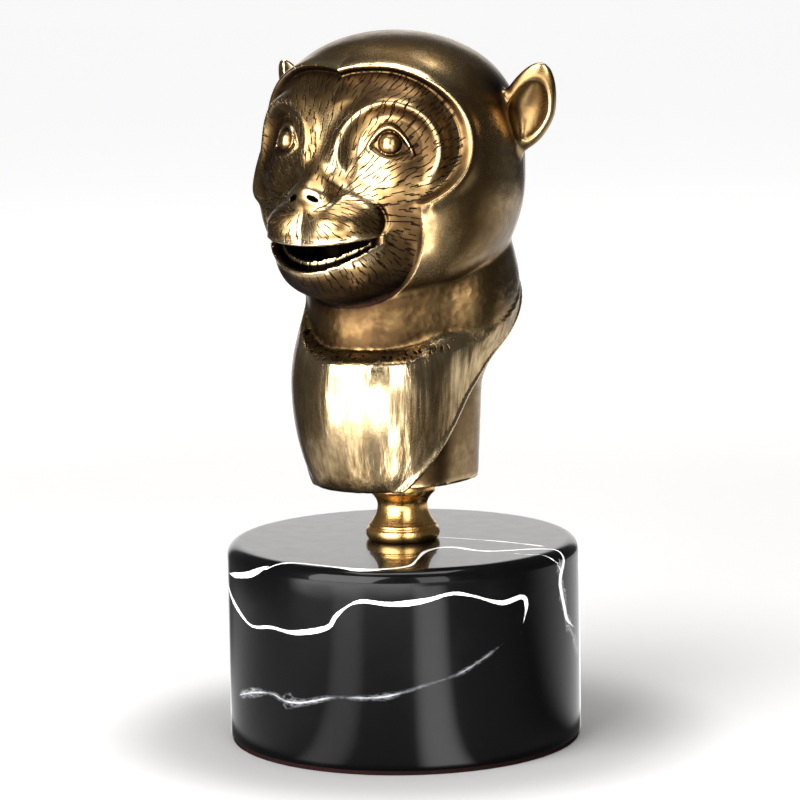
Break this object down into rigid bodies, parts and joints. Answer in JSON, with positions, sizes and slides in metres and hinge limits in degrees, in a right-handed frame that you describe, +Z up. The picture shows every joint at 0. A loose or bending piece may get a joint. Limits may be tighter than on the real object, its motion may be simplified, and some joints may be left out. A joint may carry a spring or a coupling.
{
  "type": "chinese zodiac figure",
  "caption": "Bronze zodiac monkey head on a turned brass stem and a round black marble base.",
  "frame": {"origin": "middle of the underside of the felt pad", "axes": "+Z up through the stem and the crown of the head, -Y the way the face looks, +X to the figure's left"},
  "size_m": [0.085, 0.085, 0.17],
  "materials": {
    "bronze": "antique, dark in the hollows and rubbed bright on the ridges",
    "brass": "turned and polished",
    "marble": "polished, black with thin white veins",
    "felt": "matt felt"
  },
  "bodies": {
    "root": {"felt_pad": "felt", "marble_base": "marble", "brass_stem": "brass", "monkey_head": "bronze"}
  },
  "joints": []
}
